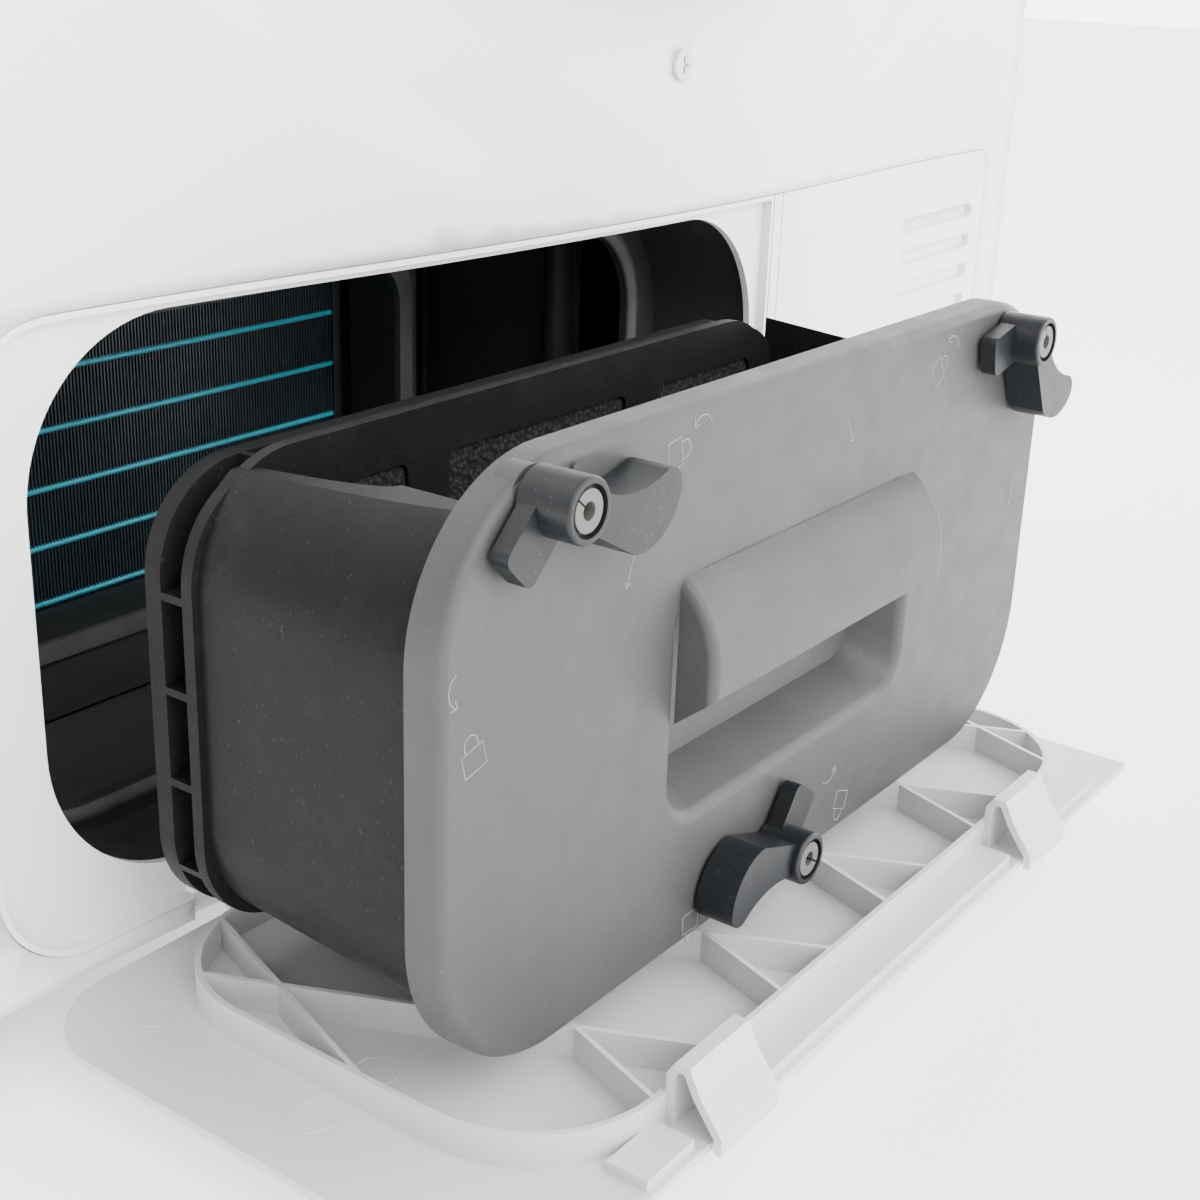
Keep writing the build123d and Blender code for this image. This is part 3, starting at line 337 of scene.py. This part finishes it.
def outline(low, high, left, right, grow=0.0):
    """Rounded rectangle in X and Z, left and right corner radii apart, grown outward: (x, z) points."""
    x0, z0, x1, z1 = low[0] - grow, low[1] - grow, high[0] + grow, high[1] + grow
    left, right = max(left + grow, 0.0002), max(right + grow, 0.0002)
    quarters = ((x1 - right, z1 - right, right, 0), (x0 + left, z1 - left, left, 90),
                (x0 + left, z0 + left, left, 180), (x1 - right, z0 + right, right, 270))
    points = []
    for cx, cz, r, start in quarters:
        for i in range(CORNER_STEPS + 1):
            a = math.radians(start + 90 * i / CORNER_STEPS)
            points.append((cx + r * math.cos(a), cz + r * math.sin(a)))
    return points


def corners(low, high):
    return [low, (high[0], low[1]), high, (low[0], high[1])]


def ring(cz, r, count):
    """Points round a circle on the machine's middle."""
    steps = [math.radians(360 / count * i) for i in range(count)]
    return [(r * math.cos(a), cz + r * math.sin(a)) for a in steps]


def divided(points, step):
    """The same closed loop with no segment longer than step."""
    out = []
    for (ax, az), (bx, bz) in zip(points, points[1:] + points[:1]):
        count = max(1, math.ceil(math.hypot(bx - ax, bz - az) / step))
        out += [(ax + (bx - ax) * i / count, az + (bz - az) * i / count) for i in range(count)]
    return out


def smooth_step(low, high, value):
    t = max(0.0, min(1.0, (value - low) / (high - low)))
    return t * t * (3 - 2 * t)


def edge_roll(x):
    """The front sheet turns back at its two upright edges."""
    over = abs(x) - ROLL_X
    return ROLL_R - math.sqrt(max(ROLL_R**2 - over**2, 0.0)) if over > 0 else 0.0


def front_skin():
    """Front sheet with its openings, rolled edges, and the shallow dish round the door."""
    low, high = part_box("front_panel")
    rim = divided(corners((low.x, low.z), (high.x, high.z)), 0.008)
    plinth = divided(outline(*PLINTH, PLINTH_LEFT, PLINTH_RIGHT), 0.010)
    keeper = divided(corners(*KEEPER), 0.008)
    points, edges = [], []
    for loop in (rim, ring(DOOR_Z, PORT_R, 180), ring(SCREW_Z, SCREW_R, 16), plinth, keeper, corners(*NOTCH)):
        start = len(points)
        points += loop
        edges += [(start + i, start + (i + 1) % len(loop)) for i in range(len(loop))]

    def solid(x, z, gap=0.0):
        """Whether the sheet is whole here, and as far as the gap from any edge."""
        if not (low.x + gap < x < high.x - gap and low.z + gap < z < high.z - gap):
            return False
        if math.hypot(x, z - DOOR_Z) < PORT_R + gap or math.hypot(x, z - SCREW_Z) < SCREW_R + gap:
            return False
        (x0, z0), (x1, z1) = KEEPER
        if x0 - gap < x < x1 + gap and z0 - gap < z < z1 + gap:
            return False
        (x0, z0), (x1, z1) = NOTCH
        if x0 - gap < x < x1 + gap and z < z1 + gap:
            return False
        radius = PLINTH_LEFT if x < 0 else PLINTH_RIGHT
        dx = max(abs(x - 0.0015) - (0.2685 - radius), 0.0)
        dz = max(abs(z - 0.1085) - (0.0845 - radius), 0.0)
        return math.hypot(dx, dz) > radius + gap

    # rows of points round the dish, close where it slopes, and a grid over the rest of the sheet
    rings = [0.197, 0.206, 0.216, 0.228, 0.240, 0.252, 0.262, 0.270, 0.276, 0.280]
    rings += [0.282 + 0.0021 * i for i in range(11)] + [0.306, 0.311]
    for r in rings:
        for i in range(240):
            x = r * math.cos(math.radians(1.5 * i))
            z = DISH_Z + r * math.sin(math.radians(1.5 * i))
            if solid(x, z, 0.003):
                points.append((x, z))
    for i in range(61):
        for k in range(62):
            x, z = -ROLL_X + 0.591 * i / 60, 0.022 + 0.712 * k / 61
            if math.hypot(x, z - DISH_Z) > 0.316 and solid(x, z, 0.0015):
                points.append((x, z))
    cdt = delaunay_2d_cdt([Vector(p) for p in points], edges, [], 0, 1e-7)
    flat, faces = cdt[0], []
    for face in cdt[2]:
        x = sum(flat[v].x for v in face) / 3
        z = sum(flat[v].y for v in face) / 3
        if solid(x, z):
            faces.append(tuple(face))

    def place(x, z):
        r = math.hypot(x, z - DISH_Z)
        dish = DISH_DEPTH * (1 - smooth_step(*DISH_R, r)) * smooth_step(*DISH_FADE, abs(x))
        return (x, bow(x) + edge_roll(x) + dish + SHIFT, z)

    verts = [place(v.x, v.y) for v in flat]
    skin = add_mesh("front_skin", verts, faces, MATERIALS["enamel"], "cabinet")
    face_front(skin)
    thicken(skin, 0.0019)
    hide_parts("front_panel")


def face_front(piece):
    """Turn every face of a single sheet towards the front and drop loose points."""
    bm = bmesh.new()
    bm.from_mesh(piece.data)
    for face in bm.faces:
        face.normal_update()
        if face.normal.y > 0:
            face.normal_flip()
    bmesh.ops.delete(bm, geom=[v for v in bm.verts if not v.link_faces], context="VERTS")
    bm.to_mesh(piece.data)
    bm.free()


def thicken(piece, thickness):
    modifier = piece.modifiers.new("sheet", "SOLIDIFY")
    modifier.thickness = thickness
    modifier.offset = -1.0
    modifier.use_even_offset = False


def seam_backing():
    """Light strip behind the hairline gap round the plinth, and the blind backs of the louvres."""
    pairs = divided_pair(*PLINTH, PLINTH_LEFT, PLINTH_RIGHT)
    verts, faces = [], []
    for pair in pairs:
        verts += [(x, bow(x) + 0.0022 + SHIFT, z) for x, z in pair]
    count = len(pairs)
    for i in range(count):
        a, b = 2 * i, 2 * ((i + 1) % count)
        faces.append((a, a + 1, b + 1, b))
    strip = add_mesh("plinth_seam_backing", verts, faces, MATERIALS["white_plastic"], "cabinet")
    face_front(strip)
    thicken(strip, 0.0006)
    verts, faces = [], []
    for i in range(13):
        x = LOUVRE_LEFT + LOUVRE_WIDTH * i / 12
        verts += [(x, bow(x) + 0.0027 + SHIFT, z) for z in LOUVRE_Z]
    faces = [(2 * i, 2 * i + 2, 2 * i + 3, 2 * i + 1) for i in range(12)]
    back = add_mesh("louvre_backs", verts, faces, MATERIALS["white_plastic"], "cabinet")
    face_front(back)
    thicken(back, 0.0008)


def divided_pair(low, high, left, right):
    """Matching points just inside and well outside an outline."""
    near = outline(low, high, left, right, -0.00035)
    far = outline(low, high, left, right, 0.0055)
    pairs = []
    for i in range(len(near)):
        k = (i + 1) % len(near)
        count = max(1, math.ceil(math.dist(near[i], near[k]) / 0.010))
        for n in range(count):
            t = n / count
            pairs.append((lerp(near[i], near[k], t), lerp(far[i], far[k], t)))
    return pairs


def lerp(a, b, t):
    return tuple(p + (q - p) * t for p, q in zip(a, b))


def evaporator():
    """Thin coated fins, their dark core, and the coolant lines that show across them."""
    low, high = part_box("evaporator_fins")
    verts, faces = [], []
    for i in range(FIN_COUNT):
        x = low.x + (high.x - low.x) * (i + 0.5) / FIN_COUNT
        add_box(verts, faces, (x - FIN_HALF, low.y, low.z), (x + FIN_HALF, high.y, high.z))
    add_box(verts, faces, (low.x, low.y + FIN_EDGE, low.z), (high.x, high.y - FIN_EDGE, high.z))
    fins = add_mesh("evaporator_fin_pack", verts, faces, MATERIALS["coil_fin"], "cabinet", smooth=False)
    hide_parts("evaporator_fins")
    verts, faces = [], []
    sides = 14
    for row in range(6):
        z = LINE_TOP - LINE_STEP * row
        start = len(verts)
        for x in (low.x, high.x):
            for k in range(sides):
                a = 2 * math.pi * k / sides
                verts.append((x, low.y + FIN_EDGE + 0.0013 * math.cos(a), z + 0.0012 * math.sin(a)))
        for k in range(sides):
            after = (k + 1) % sides
            faces.append((start + k, start + after, start + sides + after, start + sides + k))
    tubes = add_mesh("evaporator_teal_lines", verts, faces, TEAL, "cabinet")


def sweep(name, paths, radius, material, body):
    """Thin round bead along closed or open lists of points, joined in one mesh."""
    curve = bpy.data.curves.new(name, "CURVE")
    curve.dimensions = "3D"
    curve.bevel_depth = radius
    curve.bevel_resolution = 1
    for points, closed in paths:
        spline = curve.splines.new("POLY")
        spline.points.add(len(points) - 1)
        for target, point in zip(spline.points, points):
            target.co = (*point, 1)
        spline.use_cyclic_u = closed
    shape = bpy.data.objects.new(name + "_path", curve)
    mesh = bpy.data.meshes.new_from_object(shape)
    bpy.data.objects.remove(shape)
    mesh.materials.clear()
    mesh.materials.append(material)
    mesh.shade_smooth()
    piece = bpy.data.objects.new(name, mesh)
    bpy.context.scene.collection.objects.link(piece)
    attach(piece, body)
    return piece


def arc(cx, cz, r, start, end, count=12):
    """Points along part of a circle, from one angle to another in degrees."""
    steps = [math.radians(start + (end - start) * i / count) for i in range(count + 1)]
    return [(cx + r * math.cos(a), cz + r * math.sin(a)) for a in steps]


def turned(points, place, angle):
    """Points drawn round the origin, turned and moved to a place on the cover."""
    c, s = math.cos(math.radians(angle)), math.sin(math.radians(angle))
    return [(place[0] + x * c - z * s, place[1] + x * s + z * c) for x, z in points]


def cover_marks():
    """Fine moulded lines that show which way each latch turns: open and shut padlocks, and arrows, coloured
    lighter than the cover as a painted highlight.
    """
    face = COVER_Y + SHIFT
    lock = [[(-0.0036, -0.0030), (0.0036, -0.0030), (0.0036, 0.0026), (-0.0036, 0.0026), (-0.0036, -0.0030)],
            [(-0.0022, 0.0026)] + arc(0, 0.0040, 0.0022, 180, 0) + [(0.0022, 0.0026)]]
    arrow = [arc(0, 0, 0.0042, 20, 150), [(-0.0036, 0.0041), (-0.0037, 0.0018), (-0.0015, 0.0022)]]
    tick = [[(0, 0.004), (0, -0.004)], [(-0.0012, -0.0026), (0, -0.004), (0.0012, -0.0026)]]
    paths = []
    for shapes, place, angle in ((lock, (-0.1605, 0.1671), -80), (arrow, (-0.1494, 0.1703), 0),
                                 (tick, (-0.1772, 0.1428), -20), (lock, (-0.0238, 0.1629), -60),
                                 (arrow, (-0.0159, 0.1681), -20), (tick, (0.0405, 0.1115), 0),
                                 (arrow, (-0.2365, 0.1330), 95), (lock, (-0.2324, 0.1155), 15),
                                 (lock, (-0.0614, 0.0387), 160), (arrow, (-0.0708, 0.0523), 200),
                                 (lock, (-0.1422, 0.0343), 180), (tick, (-0.0754, 0.1559), 30)):
        for shape in shapes:
            paths.append(([(x, face, z) for x, z in turned(shape, place, angle)], False))
    sweep("cover_moulded_marks", paths, 0.00014, MARK_HIGHLIGHT_GREY, "cartridge")


def flap_rings():
    """Rings that the ejector pins left on the inside of the flap."""
    paths = []
    for x, y in ((-0.2424, -0.0136), (-0.2247, -0.0742), (-0.2475, -0.0747), (-0.0699, -0.1391)):
        circle = arc(x, y + SHIFT, 0.0058, 0, 345, 23)
        paths.append(([(px, py, FLAP_TOP) for px, py in circle], True))
    sweep("flap_ejector_rings", paths, 0.00018, MATERIALS["flap_plastic"], "flap")


def sleeve_seal():
    """Soft light lip on the inner flange of the sleeve, which the cartridge's body runs past."""
    inner = outline(*SLEEVE, SLEEVE_CORNER, SLEEVE_CORNER, 0.0008)
    outer = outline(*SLEEVE, SLEEVE_CORNER, SLEEVE_CORNER, 0.0062)
    y = LIP_Y + SHIFT
    verts, faces = [], []
    for (ax, az), (bx, bz) in zip(inner, outer):
        for t in (0.0, 0.2, 0.5, 0.8, 1.0):
            rise = 0.0016 * math.sin(math.pi * t)
            verts.append((ax + (bx - ax) * t, y - rise, az + (bz - az) * t))
    count = len(inner)
    for i in range(count):
        k = (i + 1) % count
        for n in range(4):
            faces.append((5 * i + n, 5 * i + n + 1, 5 * k + n + 1, 5 * k + n))
    seal = add_mesh("sleeve_soft_lip", verts, faces, MATERIALS["soft_seal"], "cabinet")
    face_front(seal)


front_skin()
seam_backing()
evaporator()
cover_marks()
flap_rings()
sleeve_seal()


# ---------------------------------------------------------------- camera, floor and light

def camera():
    """Viewpoint at the front's left side, above the cartridge, looking down and to the right."""
    data = bpy.data.cameras.new("camera")
    data.lens = 53.76
    data.sensor_width = 36.0
    data.clip_start = 0.02
    cam = bpy.data.objects.new("camera", data)
    bpy.context.scene.collection.objects.link(cam)
    turn = Matrix.Rotation(math.radians(-54.482), 4, "Z")
    turn = turn @ Matrix.Rotation(math.radians(-20.757), 4, "X")
    turn = turn @ Matrix.Rotation(math.radians(-2.077), 4, "Y")
    place = Matrix.Translation((-0.4959, -0.3301 + SHIFT, 0.2822))
    cam.matrix_world = place @ turn @ Matrix.Rotation(math.radians(90), 4, "X")
    bpy.context.scene.camera = cam


def stage():
    """White floor."""
    mesh = bpy.data.meshes.new("floor")
    mesh.from_pydata([(-6, -6, 0), (6, -6, 0), (6, 6, 0), (-6, 6, 0)], [], [(0, 1, 2, 3)])
    m, nt, sh = new_material("floor_white")
    tone = mix(nt, spread(nt, noise(nt, 1.5, 2), 0.3, 0.7), (0.96, 0.96, 0.96), (0.975, 0.975, 0.975))
    nt.links.new(tone, sh.inputs["Base Color"])
    sh.inputs["Roughness"].default_value = 0.9
    sh.inputs["Emission Color"].default_value = (1, 1, 1, 1)
    sh.inputs["Emission Strength"].default_value = 0.9
    mesh.materials.append(m)
    floor = bpy.data.objects.new("floor", mesh)
    bpy.context.scene.collection.objects.link(floor)


def area(name, place, target, size, power):
    """Rectangular lamp at a place, facing a target."""
    data = bpy.data.lights.new(name, "AREA")
    data.shape = "RECTANGLE"
    data.size, data.size_y = size
    data.energy = power
    light = bpy.data.objects.new(name, data)
    light.location = place
    light.rotation_euler = (Vector(target) - Vector(place)).to_track_quat("-Z", "Y").to_euler()
    bpy.context.scene.collection.objects.link(light)


def lights():
    """A pale studio: even light from the front and right, less from above, least from the left."""
    world = bpy.data.worlds.new("studio")
    world.use_nodes = True
    nt = world.node_tree
    background = nt.nodes["Background"]
    background.inputs["Color"].default_value = (1, 1, 1, 1)
    direction = nt.nodes.new("ShaderNodeTexCoord").outputs["Generated"]
    falls = []
    for axis, near, far, least in (((-1, 0, 0), 0.00, 0.85, 0.22), ((0, 0, 1), 0.20, 0.95, 0.50)):
        along = nt.nodes.new("ShaderNodeVectorMath")
        along.operation = "DOT_PRODUCT"
        along.inputs[1].default_value = axis
        nt.links.new(direction, along.inputs[0])
        falls.append(spread(nt, along.outputs["Value"], near, far, 1.0, least))
    both = nt.nodes.new("ShaderNodeMath")
    both.operation = "MULTIPLY"
    nt.links.new(falls[0], both.inputs[0])
    nt.links.new(falls[1], both.inputs[1])
    nt.links.new(spread(nt, both.outputs["Value"], 0, 1, 0, STUDIO), background.inputs["Strength"])
    bpy.context.scene.world = world
    area("key", (-0.5, -2.4, 1.9), (0.0, -0.2, 0.3), (1.8, 1.4), 58)


camera()
stage()
lights()
